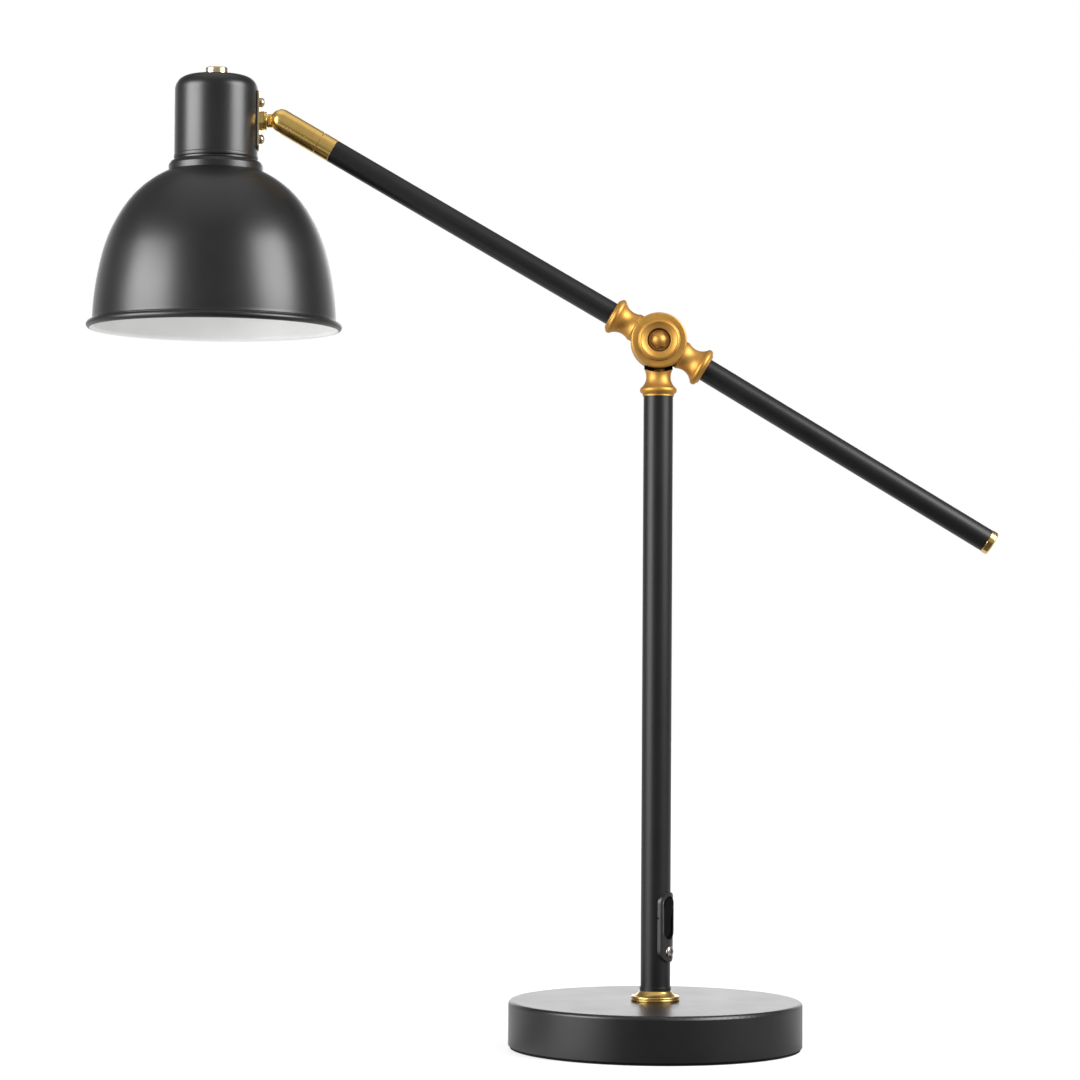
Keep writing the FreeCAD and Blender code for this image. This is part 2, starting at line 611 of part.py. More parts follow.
# stack of sprung washers that presses the seat on the ball
parts = []
for k in range(4):
    z0 = 223.6 + 1.34 * k
    a, c = (2.9, 4.9) if k % 2 == 0 else (4.9, 2.9)
    s1 = body("spring_washer_%d" % (k + 1))
    if k % 2 == 0:
        lp = [(2.9, z0), (4.9, z0 + 0.55), (4.9, z0 + 1.15), (2.9, z0 + 0.6)]
    else:
        lp = [(2.9, z0 + 0.55), (4.9, z0), (4.9, z0 + 0.6), (2.9, z0 + 1.15)]
    revolve(s1, "spring_turn_%d" % (k + 1), [lp])
    parts.append(s1)
g = doc.addObject("Part::Compound", "swivel_spring_washers")
g.Label = "swivel_spring_washers"
g.Links = parts
node(g, "long")

# ================================================================== HEAD
# stem: ball, flat-sided neck, flange and threaded tail; own Z runs from the
# ball towards the cap
ho = D("head_off")
p_out = ho - D("plate_in") - D("plate_t")   # outer face of the plate, from the ball
b = body("swivel_stem")
nk = D("neck_r")
bl = D("ball_r")
zn = math.sqrt(bl.v ** 2 - nk.v ** 2)
zt = math.sqrt(bl.v ** 2 - 1.7 ** 2)
revolve(b, "stem_turn", [[
    (1.7, -zt), (bl, 0, bl), (nk, zn, bl), (nk, 7.7), (D("stem_flange_r") - 0.2, 7.7),
    (D("stem_flange_r"), 7.9), (D("stem_flange_r"), 9.1), (D("stem_flange_r") - 0.2, 9.3),
    (3.0, 9.3), (3.0, 16.8), (1.7, 16.8)]])
# flats that pass through the slot of the barrel
fl = D("neck_flat")
for nm, s in (("flat_front", 1), ("flat_back", -1)):
    y0 = fl * s
    y1 = q(6.0) * s
    lp = [(y0, 3.0), (y1, 3.0), (y1, 6.9), (y0, 6.9)]
    before = b.Shape.Volume
    pocket(b, nm, [lp if s > 0 else lp[::-1]], 20, "YZ_Plane", both=True)
node(b, "stem")

b = body("stem_nut")
pad(b, "nut_hex", [hexagon(9.4, spin=10), ("o", 0, 0, 3.02)], p_out - 9.35, lift=9.35)
node(b, "stem")
b = body("stem_inner_nut")
pad(b, "nut_hex", [hexagon(7.8, spin=30), ("o", 0, 0, 3.02)], 1.9, lift=14.7)
node(b, "stem")

# flat plate and its thin gasket, in the head frame
pin_, pt, pw, ptl = D("plate_in"), D("plate_t"), D("plate_w"), D("plate_tall")
zc = D("head_drop")
pitch = D("screw_pitch") / 2


def rrect(w, tall, cy, rad):
    w, tall, cy, rad = q(w) / 2, q(tall) / 2, q(cy), q(rad)
    return [(w, cy + tall - rad), (w - rad, cy + tall, rad), (rad - w, cy + tall),
            (-w, cy + tall - rad, rad), (-w, cy - tall + rad), (rad - w, cy - tall, rad),
            (w - rad, cy - tall), (w, cy - tall + rad, rad)]


b = body("hinge_plate")
pad(b, "plate_blank", [rrect(pw, ptl, zc, 2.0), ("o", 0, zc, 3.05), ("o", 0, zc + pitch, 1.55),
                       ("o", 0, zc - pitch, 1.55)], pt, "YZ_Plane", lift=pin_)
node(b, "head")
b = body("hinge_gasket")
pad(b, "gasket_blank", [rrect(pw + 1.0, ptl + 1.0, zc, 2.4), ("o", 0, zc, 3.1),
                        ("o", 0, zc + pitch, 1.6), ("o", 0, zc - pitch, 1.6)],
    2.0, "YZ_Plane", lift=pin_ - 2.0)
revolve(b, "gasket_seat", [ring_loop(0, D("cap_r"), 90, 140)], cut=True)
node(b, "head")

screws, nuts = [], []
for k, s in enumerate((1, -1)):
    b = body("hinge_screw_%d" % (k + 1))
    revolve(b, "hinge_screw_turn_%d" % (k + 1), [[
        (0, -5.6), (1.5, -5.6), (1.5, 0), (2.6, 0), (2.6, 1.0), (1.5, 2.3, 2.0), (0, 2.55, 6.0)]])
    pocket(b, "hinge_cross_%d" % (k + 1), [cross(1.6, 0.33)], 3, "XY_Plane", lift=1.3, back=True)
    b.Placement = Placement(Vector(pin_.v + pt.v, 0, zc.v + s * pitch.v),
                            Rotation(Vector(0, 1, 0), 90).multiply(Rotation(Vector(0, 0, 1), 20 + 25 * k)))
    screws.append(b)
    b = body("hinge_screw_nut_%d" % (k + 1))
    pad(b, "hinge_nut_hex_%d" % (k + 1), [hexagon(5.5), ("o", 0, 0, 1.52)], 2.0)
    b.Placement = Placement(Vector(19.1, 0, zc.v + s * pitch.v), Rotation(Vector(0, 1, 0), 90))
    nuts.append(b)
for nm, lst in (("hinge_screws", screws), ("hinge_screw_nuts", nuts)):
    g = doc.addObject("Part::Compound", nm)
    g.Label = nm
    g.Links = lst
    node(g, "head")

# shade: spun dome of three tangent curves, a rolled rim and a neck ring
w = D("shade_wall")
C1, R1 = (-101.0968, -1.0630), 167.2956
C2, R2 = (-17.2104, 20.7960), 80.6079
C3, R3 = (2.1326, 34.5353), 56.8820
A12, A23 = math.radians(104.6053 - 90), math.radians(125.3862 - 90)


def on(c, r, ang):
    return (c[0] + r * math.cos(ang), c[1] + r * math.sin(ang))


def at_radius(c, r, x):
    return (x, c[1] + math.sqrt(r * r - (x - c[0]) ** 2))


def at_height(c, r, z):
    return (c[0] + math.sqrt(r * r - (z - c[1]) ** 2), z)


wv = w.v
nr = D("neck_ring")
o1 = at_height(C1, R1, 4.9)
o2 = on(C1, R1, A12)
o3 = on(C2, R2, A23)
o4 = at_radius(C3, R3, nr.v)
i4 = at_radius(C3, R3 - wv, 20.5)
i3 = on(C2, R2 - wv, A23)
i2 = on(C1, R1 - wv, A12)
i1 = at_height(C1, R1 - wv, 2.6)
rim, rt = D("rim_rad"), D("rim_tube")
cap_r, cap_t = D("cap_r"), D("cap_top")
b = body("shade")
revolve(b, "shade_turn", [[
    (rim - rt, 0, 2.3), (rim, rt, rt), (rim - rt, rt * 2, rt),
    (o1[0], o1[1], -1.1), (o2[0], o2[1], R1), (o3[0], o3[1], R2), (nr, o4[1], R3),
    (nr, D("neck_top") - 2.7), (nr - 0.9, D("neck_top") - 1.2, 1.6), (cap_r + 0.05, D("neck_top")),
    (cap_r + 0.05, 88.5), (20.5, 88.5), (20.5, i4[1]),
    (i3[0], i3[1], -(R3 - wv)), (i2[0], i2[1], -(R2 - wv)), (i1[0], i1[1], -(R1 - wv))]])
node(b, "head")

# cap: spun cup with a rounded shoulder and a small swell above its groove
cw_ = D("cap_wall")
cro = D("cap_round")
b = body("shade_cap")
revolve(b, "cap_turn", [[
    (cap_r - 0.45, 88.5), (cap_r - 0.45, 92.9), (cap_r + 0.2, 93.7, 0.8), (cap_r, 95.4, 3.0),
    (cap_r, cap_t - cro), (cap_r - cro, cap_t, cro), (5.05, cap_t + 0.25, 140.0),
    (5.05, cap_t - cw_ + 0.1), (cap_r - cro, cap_t - cw_ - 0.1),
    (cap_r - cw_, cap_t - cro, -(cro - cw_)), (cap_r - cw_, 88.5)]])
pocket(b, "stem_hole", [("o", 0, zc, 3.05), ("o", 0, zc + pitch, 1.55), ("o", 0, zc - pitch, 1.55)],
       20, "YZ_Plane", lift=10, back=True)
node(b, "head")

ft = D("finial_top")
fr = D("finial_r")
turned("cap_finial", [
    (0, ft - 1.4), (5.0, ft - 1.4), (5.0, cap_t + 0.32), (fr - 0.15, cap_t + 0.32), (fr, cap_t + 0.47),
    (fr, ft - 0.9), (fr - 0.9, ft, 0.9), (0, ft)], "head")
turned("socket_nipple", ring_loop(3.4, 4.98, 125.2, 141.5), "head")
b = body("cap_lock_nut")
pad(b, "nut_hex", [hexagon(14.0), ("o", 0, 0, 5.0)], 3.0, lift=132.6)
node(b, "head")
turned("cap_lock_washer", ring_loop(5.1, 9.5, 135.6, 136.9), "head")

# lamp holder: moulded body, threaded shell and centre contact
sr = D("socket_r")
turned("lamp_socket", [
    (5.0, 125.0), (5.0, 129.0), (8.0, 129.0), (11.0, 127.0), (sr - 1.0, 127.0), (sr, 126.0),
    (sr, 104.0), (sr + 0.8, 103.2), (sr + 0.8, 100.4), (sr, 99.6), (sr, 88.0), (sr - 0.8, 87.2),
    (14.3, 87.2), (14.3, 125.0)], "head")
turned("socket_screw_shell", ring_loop(13.5, 14.25, 90.5, 118.0), "head")
turned("socket_contact", [
    (0, 121.3), (2.2, 121.3), (3.2, 122.6), (12.0, 123.6), (12.0, 125.0), (0, 125.0)], "head")

# bulb: metal screw cap and glass
turned("bulb_cap", [
    (0, 121.25), (3.6, 120.7), (4.6, 118.6), (9.5, 117.2), (13.0, 115.6), (13.15, 114.6), (12.75, 113.4),
    (13.15, 112.0), (12.75, 110.6), (13.15, 109.2), (12.75, 107.8), (13.15, 106.4), (12.75, 105.0),
    (13.15, 103.6), (12.75, 102.2), (13.15, 100.8), (12.9, 99.4), (13.1, 96.2), (12.3, 96.2),
    (12.3, 114.2), (0, 114.2)][::-1], "head")
turned("bulb_glass", [
    (0, 33.0), (24.0, 57.0, 24.0), (21.75, 67.15, 24.0), (12.8, 89.0, -60.0), (12.2, 96.1),
    (12.2, 112.0), (11.4, 112.0), (11.4, 97.0), (12.0, 88.6), (21.03, 66.8, 60.8),
    (23.2, 57.0, -23.2), (0, 33.8, -23.2)], "head")

# ================================================================ CHECKS
doc.recompute()
bad = []
for o in doc.Objects:
    if any(s in ("Invalid", "Error") for s in o.State):
        bad.append("%s: %s" % (o.Label, o.State))
for o in NODES:
    sh = o.Shape
    if sh.isNull() or not sh.isValid():
        bad.append("%s: bad shape" % o.Label)
if bad:
    raise RuntimeError("; ".join(bad))
os.makedirs("parts", exist_ok=True)
for o in NODES:
    o.Shape.exportStep("parts/%s.step" % o.Label)
    print("%-24s solids %d  vol %10.1f  %s" % (o.Label, len(o.Shape.Solids), o.Shape.Volume,
          " ".join("%.1f" % v for v in (o.Shape.BoundBox.XMin, o.Shape.BoundBox.XMax,
                                         o.Shape.BoundBox.YMin, o.Shape.BoundBox.YMax,
                                         o.Shape.BoundBox.ZMin, o.Shape.BoundBox.ZMax))))
print(len(NODES), "nodes")
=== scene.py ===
import math
import bmesh
import bpy
from mathutils import Matrix, Vector


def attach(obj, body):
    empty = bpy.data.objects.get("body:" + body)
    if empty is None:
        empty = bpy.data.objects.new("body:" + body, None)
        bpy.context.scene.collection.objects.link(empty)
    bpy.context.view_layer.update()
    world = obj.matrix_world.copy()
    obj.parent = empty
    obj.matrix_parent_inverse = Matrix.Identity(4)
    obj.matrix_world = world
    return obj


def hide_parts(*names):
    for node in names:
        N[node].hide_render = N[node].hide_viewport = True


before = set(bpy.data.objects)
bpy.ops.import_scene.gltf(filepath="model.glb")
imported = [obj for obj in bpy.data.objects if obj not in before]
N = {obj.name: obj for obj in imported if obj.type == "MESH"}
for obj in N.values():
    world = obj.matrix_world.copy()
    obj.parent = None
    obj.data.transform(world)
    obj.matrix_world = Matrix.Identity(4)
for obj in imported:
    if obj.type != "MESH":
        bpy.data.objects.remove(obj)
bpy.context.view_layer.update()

MM = 0.001
scene = bpy.context.scene

# ---------------------------------------------------------------- the frame
UP = math.radians(30.0)
HUB = Vector((0.0, 0.0, 0.382))
LONG = Vector((-math.cos(UP), 0.0, math.sin(UP)))
PIVOT = HUB + LONG * 0.2379
HEAD = Vector((PIVOT.x - 0.0354, 0.0, PIVOT.z - 0.1143))
SHORT = Vector((math.cos(math.radians(31.0)), 0.0, -math.sin(math.radians(31.0))))


def along(axis, origin):
    """Matrix that takes local Z to the axis, with local Y kept as world Y."""
    z = axis.normalized()
    y = Vector((0, 1, 0))
    x = y.cross(z).normalized()
    m = Matrix((x, y, z)).transposed().to_4x4()
    m.translation = origin
    return m


# ------------------------------------------------------------------- nodes
class Graph:
    """A material's node tree with short calls."""

    def __init__(self, name):
        self.mat = bpy.data.materials.new(name)
        self.mat.use_nodes = True
        self.t = self.mat.node_tree
        self.bsdf = next(n for n in self.t.nodes if n.type == "BSDF_PRINCIPLED")
        self.out = next(n for n in self.t.nodes if n.type == "OUTPUT_MATERIAL")
        self.co = self.t.nodes.new("ShaderNodeTexCoord").outputs["Object"]

    def link(self, a, b):
        self.t.links.new(a, b)

    def node(self, kind, **props):
        n = self.t.nodes.new(kind)
        for k, v in props.items():
            setattr(n, k, v)
        return n

    def stretch(self, axis, scale):
        """Object coordinates turned so that Z is the part's axis, then scaled per
        axis, for drawn or turned marks."""
        m = self.node("ShaderNodeMapping", vector_type="TEXTURE")
        self.link(self.co, m.inputs["Vector"])
        m.inputs["Scale"].default_value = [1.0 / v for v in scale]
        if axis is not None:
            m.inputs["Rotation"].default_value = axis
        return m.outputs["Vector"]

    def crevice_patina_and_shade(self, distance, open_at=0.62, shut_at=0.12):
        """1 in deep crevices, 0 on open faces: mask for a dark patina wash that is partly painted shade in recesses.
        """
        a = self.node("ShaderNodeAmbientOcclusion", samples=8)
        a.inputs["Distance"].default_value = distance
        return self.span(a.outputs["AO"], shut_at, open_at, 1.0, 0.0)

    def noise(self, scale, detail=4.0, rough=0.55, vec=None, lac=2.0, kind=None):
        n = self.node("ShaderNodeTexNoise")
        n.inputs["Scale"].default_value = scale
        n.inputs["Detail"].default_value = detail
        n.inputs["Roughness"].default_value = rough
        n.inputs["Lacunarity"].default_value = lac
        self.link(vec if vec is not None else self.co, n.inputs["Vector"])
        return n.outputs["Fac"]

    def cells(self, scale, vec=None, feature="F1"):
        n = self.node("ShaderNodeTexVoronoi", feature=feature)
        n.inputs["Scale"].default_value = scale
        self.link(vec if vec is not None else self.co, n.inputs["Vector"])
        return n.outputs["Distance"]

    def ramp(self, fac, stops):
        n = self.node("ShaderNodeValToRGB")
        e = n.color_ramp.elements
        while len(e) < len(stops):
            e.new(0.5)
        for i, (p, c) in enumerate(stops):
            e[i].position = p
            e[i].color = (*c, 1.0) if len(c) == 3 else c
        self.link(fac, n.inputs["Fac"])
        return n.outputs["Color"]

    def span(self, fac, a, b, c, d):
        n = self.node("ShaderNodeMapRange", clamp=True)
        for k, v in zip(("From Min", "From Max", "To Min", "To Max"), (a, b, c, d)):
            n.inputs[k].default_value = v
        self.link(fac, n.inputs["Value"])
        return n.outputs["Result"]

    def math(self, op, a, b=None, clamp=False):
        n = self.node("ShaderNodeMath", operation=op, use_clamp=clamp)
        for i, v in enumerate((a, b)):
            if v is None:
                continue
            if isinstance(v, (int, float)):
                n.inputs[i].default_value = v
            else:
                self.link(v, n.inputs[i])
        return n.outputs[0]

    def mix(self, fac, a, b, blend="MIX"):
        n = self.node("ShaderNodeMix", data_type="RGBA", blend_type=blend)
        if isinstance(fac, (int, float)):
            n.inputs["Factor"].default_value = fac
        else:
            self.link(fac, n.inputs["Factor"])
        for sock, v in ((n.inputs[6], a), (n.inputs[7], b)):
            if isinstance(v, (tuple, list)):
                sock.default_value = (*v[:3], 1.0)
            else:
                self.link(v, sock)
        return n.outputs[2]

    def wear(self, radius, low=0.02, high=0.35):
        """1 on edges where the finish would rub, 0 elsewhere."""
        b = self.node("ShaderNodeBevel", samples=6)
        b.inputs["Radius"].default_value = radius
        g = self.node("ShaderNodeNewGeometry")
        d = self.node("ShaderNodeVectorMath", operation="DOT_PRODUCT")
        self.link(b.outputs["Normal"], d.inputs[0])
        self.link(g.outputs["Normal"], d.inputs[1])
        inv = self.math("SUBTRACT", 1.0, d.outputs["Value"], clamp=True)
        return self.span(inv, low, high, 0.0, 1.0)

    def bump(self, height, strength, distance, normal=None):
        n = self.node("ShaderNodeBump")
        n.inputs["Strength"].default_value = strength
        n.inputs["Distance"].default_value = distance
        self.link(height, n.inputs["Height"])
        if normal is not None:
            self.link(normal, n.inputs["Normal"])
        return n.outputs["Normal"]

    def finish(self, color=None, rough=None, normal=None, metal=None, **consts):
        p = self.bsdf.inputs
        if color is not None:
            self.link(color, p["Base Color"])
        if rough is not None:
            self.link(rough, p["Roughness"])
        if normal is not None:
            self.link(normal, p["Normal"])
        if metal is not None:
            p["Metallic"].default_value = metal
        for k, v in consts.items():
            p[k.replace("_", " ")].default_value = v
        return self.mat


def powder_coat(name, tone=(0.0042, 0.0042, 0.0044), rough=0.35, spec=0.50, wear=True):
    g = Graph(name)
    cloud = g.noise(38.0, 5.0, 0.6)
    speck = g.noise(2600.0, 2.0, 0.5)
    a = tuple(c * 0.82 for c in tone)
    b = tuple(c * 1.22 for c in tone)
    col = g.ramp(cloud, [(0.3, a), (0.7, b)])
    col = g.mix(g.span(speck, 0.62, 0.78, 0.0, 0.30), col, tuple(c * 2.0 for c in tone))
    r = g.span(cloud, 0.25, 0.75, rough - 0.02, rough + 0.025)
    r = g.math("ADD", r, g.span(speck, 0.3, 0.7, -0.012, 0.012))
    if wear:
        w = g.math("MULTIPLY", g.wear(0.00035, 0.05, 0.40),
                   g.span(g.noise(420.0, 3.0, 0.6), 0.42, 0.66, 0.15, 1.0))
        col = g.mix(g.math("MULTIPLY", w, 0.22), col, (0.050, 0.049, 0.047))
        r = g.math("ADD", r, g.math("MULTIPLY", w, 0.05))
    peel = g.noise(700.0, 2.0, 0.45)
    fine = g.noise(5200.0, 2.0, 0.5)
    n1 = g.bump(peel, 0.035, 0.00012)
    n2 = g.bump(fine, 0.03, 0.00002, n1)
    return g.finish(col, r, n2, 0.0, Specular_IOR_Level=spec)


def white_enamel(name):
    g = Graph(name)
    cloud = g.noise(30.0, 4.0, 0.6)
    col = g.ramp(cloud, [(0.3, (0.80, 0.80, 0.79)), (0.7, (0.86, 0.86, 0.855))])
    speck = g.noise(1500.0, 2.0, 0.5)
    col = g.mix(g.span(speck, 0.70, 0.80, 0.0, 0.25), col, (0.62, 0.61, 0.59))
    r = g.span(cloud, 0.25, 0.75, 0.34, 0.44)
    n = g.bump(g.noise(950.0, 2.0, 0.45), 0.12, 0.0002)
    return g.finish(col, r, n, 0.0, Specular_IOR_Level=0.45)


def brass(name, dark, light, rough, spread=0.05, mark=None, turn=None, mark_depth=0.00001,
          edge=(0.93, 0.72, 0.36), cast=0.0, tarnish=0.35, seed_scale=60.0, patina_and_shade=0.0, gap_shade=None,
          metal=1.0):
    """Lacquered brass.  mark is the squeeze that draws out the polishing lines;
    the (centre, radius, depth) triple marks a face deep in a joint that gets painted shade: near-black where the gap
    between the discs lies in shadow."""
    g = Graph(name)
    cloud = g.noise(seed_scale, 5.0, 0.62)
    col = g.ramp(cloud, [(0.28, dark), (0.72, light)])
    r = g.span(cloud, 0.2, 0.8, rough - spread, rough + spread)
    spots = g.noise(760.0, 4.0, 0.6)
    s = g.math("MULTIPLY", g.span(spots, 0.58, 0.74, 0.0, 1.0), tarnish)
    col = g.mix(s, col, tuple(c * 0.62 for c in dark))
    r = g.math("ADD", r, g.math("MULTIPLY", s, 0.10))
    w = g.math("MULTIPLY", g.wear(0.00030, 0.02, 0.30), g.span(g.noise(380.0, 3.0, 0.6), 0.35, 0.65, 0.3, 1.0))
    col = g.mix(g.math("MULTIPLY", w, 0.55), col, edge)
    # dark patina wash in crevices, partly painted shade: recesses and gaps darkened toward dark brown where shade
    # falls
    if patina_and_shade:
        p = g.crevice_patina_and_shade(0.0034, 0.74, 0.14)
        p = g.math("MULTIPLY", p, g.span(g.noise(900.0, 3.0, 0.6), 0.3, 0.7, patina_and_shade * 0.75, patina_and_shade))
        col = g.mix(p, col, (0.034, 0.011, 0.004))
        r = g.math("ADD", r, g.math("MULTIPLY", p, 0.15))
    # painted shade: the face of the rear disc turned near-black where the gap under the front disc lies in shadow
    if gap_shade:
        centre, radius, depth = gap_shade
        off = g.node("ShaderNodeVectorMath", operation="SUBTRACT")
        g.link(g.co, off.inputs[0])
        off.inputs[1].default_value = centre
        s3 = g.node("ShaderNodeSeparateXYZ")
        g.link(off.outputs["Vector"], s3.inputs[0])
        far = g.math("SQRT", g.math("ADD", g.math("MULTIPLY", s3.outputs["X"], s3.outputs["X"]),
                                    g.math("MULTIPLY", s3.outputs["Z"], s3.outputs["Z"])))
        gap_shade_mask = g.math("MULTIPLY", g.span(far, radius - 0.0001, radius + 0.0001, 1.0, 0.0),
                     g.span(s3.outputs["Y"], depth - 0.0002, depth + 0.0002, 1.0, 0.0))
        col = g.mix(gap_shade_mask, col, (0.010, 0.005, 0.003))
        r = g.math("ADD", r, g.math("MULTIPLY", gap_shade_mask, 0.35))
    normal = None
    if cast:
        normal = g.bump(g.noise(520.0, 4.0, 0.55), cast, 0.00012)
    if mark is not None:
        lines = g.noise(1.0, 3.0, 0.6, vec=g.stretch(turn, mark))
        r = g.math("ADD", r, g.span(lines, 0.3, 0.7, -0.035, 0.045))
        normal = g.bump(lines, 0.35, mark_depth, normal)
    else:
        fine = g.noise(3000.0, 3.0, 0.6)
        normal = g.bump(fine, 0.14, 0.00002, normal)
    return g.finish(col, r, normal, metal)


def plated_steel(name, tone=(0.62, 0.62, 0.64), rough=0.26, mark=None, turn=None):
    g = Graph(name)
    cloud = g.noise(90.0, 4.0, 0.6)
    col = g.ramp(cloud, [(0.3, tuple(c * 0.86 for c in tone)), (0.7, tone)])
    w = g.wear(0.0002)
    col = g.mix(g.math("MULTIPLY", w, 0.4), col, (0.85, 0.85, 0.86))
    r = g.span(cloud, 0.2, 0.8, rough - 0.05, rough + 0.07)
    lines = g.noise(1.0 if mark else 2200.0, 3.0, 0.6, vec=g.stretch(turn, mark) if mark else None)
    n = g.bump(lines, 0.3, 0.00001)
    return g.finish(col, r, n, 1.0)


def moulded(name, tone, rough, grain=1800.0, depth=0.00002, spec=0.5, wear_tone=None):
    g = Graph(name)
    cloud = g.noise(120.0, 4.0, 0.6)
    col = g.ramp(cloud, [(0.3, tuple(c * 0.85 for c in tone)), (0.7, tuple(min(1.0, c * 1.15) for c in tone))])
    w = g.wear(0.00022)
    wt = wear_tone if wear_tone else tuple(min(1.0, c * 2.2 + 0.02) for c in tone)
    col = g.mix(g.math("MULTIPLY", w, 0.45), col, wt)
    r = g.span(cloud, 0.2, 0.8, rough - 0.04, rough + 0.06)
    n = g.bump(g.noise(grain, 3.0, 0.55), 0.25, depth)
    return g.finish(col, r, n, 0.0, Specular_IOR_Level=spec)


def felt(name):
    g = Graph(name)
    fib = g.noise(1.0, 5.0, 0.7, vec=g.stretch(None, (2600.0, 900.0, 2600.0)))
    fib2 = g.noise(1.0, 5.0, 0.7, vec=g.stretch((0.0, 0.0, 1.1), (900.0, 2600.0, 2200.0)))
    both = g.math("MULTIPLY", g.math("ADD", fib, fib2), 0.5)
    col = g.ramp(both, [(0.35, (0.002, 0.002, 0.0022)), (0.55, (0.007, 0.007, 0.0075)), (0.72, (0.024, 0.024, 0.025))])
    n = g.bump(both, 0.9, 0.0003)
    r = g.span(both, 0.3, 0.7, 0.88, 0.98)
    return g.finish(col, r, n, 0.0, Sheen_Weight=0.04, Sheen_Roughness=0.5, Specular_IOR_Level=0.08)


def cast_iron(name):
    g = Graph(name)
    a = g.noise(420.0, 6.0, 0.65)
    rust = g.noise(70.0, 4.0, 0.6)
    col = g.ramp(a, [(0.3, (0.035, 0.034, 0.033)), (0.7, (0.085, 0.083, 0.08))])
    col = g.mix(g.span(rust, 0.58, 0.72, 0.0, 0.5), col, (0.12, 0.06, 0.03))
    n = g.bump(a, 0.8, 0.0004)
    return g.finish(col, g.span(a, 0.2, 0.8, 0.6, 0.8), n, 0.6)


def frosted_glass(name):
    g = Graph(name)
    cloud = g.noise(45.0, 3.0, 0.5)
    col = g.ramp(cloud, [(0.3, (0.86, 0.86, 0.84)), (0.7, (0.92, 0.92, 0.905))])
    r = g.span(cloud, 0.2, 0.8, 0.22, 0.30)
    n = g.bump(g.noise(2400.0, 2.0, 0.5), 0.08, 0.00002)
    return g.finish(col, r, n, 0.0, Subsurface_Weight=0.25, Subsurface_Scale=0.003,
                    Coat_Weight=0.3, Coat_Roughness=0.12)


COAT = powder_coat("black_powder_coat")
COAT_POST = powder_coat("black_powder_coat_tubes", rough=0.39, spec=0.36)
WHITE = white_enamel("white_enamel")
ANTIQUE = brass("antique_brass_casting", (0.41, 0.205, 0.040), (0.53, 0.29, 0.070), 0.50, 0.04,
                edge=(0.80, 0.57, 0.28), cast=0.16, tarnish=0.30, patina_and_shade=0.95, metal=0.88)
# copy of the casting brass with painted shade in the gap under the front disc
ANTIQUE_REAR_GAP_SHADE = brass("antique_brass_rear_casting_gap_shade", (0.41, 0.205, 0.040), (0.53, 0.29, 0.070), 0.50, 0.04,
                     edge=(0.80, 0.57, 0.28), cast=0.16, tarnish=0.30, patina_and_shade=0.95, metal=0.88,
                     gap_shade=(tuple(HUB), 0.0172, 0.0008))
COPPERY = brass("coppery_washer", (0.50, 0.20, 0.055), (0.62, 0.28, 0.085), 0.34, 0.04, tarnish=0.3)
TO_LONG = (0.0, math.radians(-60.0), 0.0)
TO_SHORT = (0.0, math.radians(121.0), 0.0)
TO_X = (0.0, math.radians(90.0), 0.0)
SATIN = brass("satin_brass", (0.80, 0.52, 0.145), (0.90, 0.61, 0.20), 0.27, 0.02,
              mark=(2200.0, 2200.0, 30.0), turn=TO_LONG, tarnish=0.10)
SATIN_STEM = brass("satin_brass_stem", (0.70, 0.46, 0.135), (0.80, 0.55, 0.19), 0.25, 0.03,
                   mark=(60.0, 60.0, 2600.0), turn=TO_X, tarnish=0.15)
POLISHED = brass("polished_brass", (0.54, 0.335, 0.095), (0.64, 0.42, 0.145), 0.27, 0.03,
                 mark=(60.0, 60.0, 3200.0), tarnish=0.2)
POLISHED_END = brass("polished_brass_end_cap", (0.70, 0.47, 0.16), (0.80, 0.57, 0.23), 0.20, 0.03,
                     mark=(60.0, 60.0, 3200.0), turn=TO_SHORT, tarnish=0.2)
PALE_TURNED = brass("pale_brass_turned", (0.74, 0.60, 0.34), (0.84, 0.71, 0.46), 0.18, 0.03,
                    mark=(60.0, 60.0, 3200.0), tarnish=0.12)
PALE = brass("pale_brass_plate", (0.72, 0.54, 0.27), (0.82, 0.64, 0.36), 0.28, 0.04, tarnish=0.2)
PALE_SCREWS = brass("aged_screws", (0.44, 0.37, 0.27), (0.56, 0.48, 0.36), 0.27, 0.04,
                    edge=(0.80, 0.74, 0.62), tarnish=0.35, patina_and_shade=0.6)
STEEL = plated_steel("plated_steel")
SCREW = plated_steel("nickel_screw", (0.46, 0.43, 0.41), 0.24)
IRON = cast_iron("cast_iron")
FELT = felt("black_felt")
PLASTIC = moulded("black_moulded_plastic", (0.008, 0.008, 0.0085), 0.36)
GLOSS = moulded("gloss_black_plastic", (0.0005, 0.0005, 0.00055), 0.12, grain=500.0, depth=0.00001,
                spec=0.04, wear_tone=(0.006, 0.006, 0.006))
RUBBER = moulded("black_rubber", (0.012, 0.012, 0.012), 0.72, grain=1500.0, depth=0.00004, spec=0.3)
NYLON = moulded("natural_nylon", (0.62, 0.60, 0.54), 0.45, wear_tone=(0.7, 0.69, 0.64))
SHEATH = moulded("lead_sheath", (0.02, 0.02, 0.02), 0.5)
PHENOLIC = moulded("black_phenolic", (0.014, 0.013, 0.012), 0.30)
ALU = plated_steel("bulb_aluminium", (0.80, 0.80, 0.81), 0.30)
SHEET_BRASS = brass("sheet_brass", (0.66, 0.46, 0.17), (0.78, 0.58, 0.25), 0.30, 0.05)
GLASS = frosted_glass("frosted_glass")

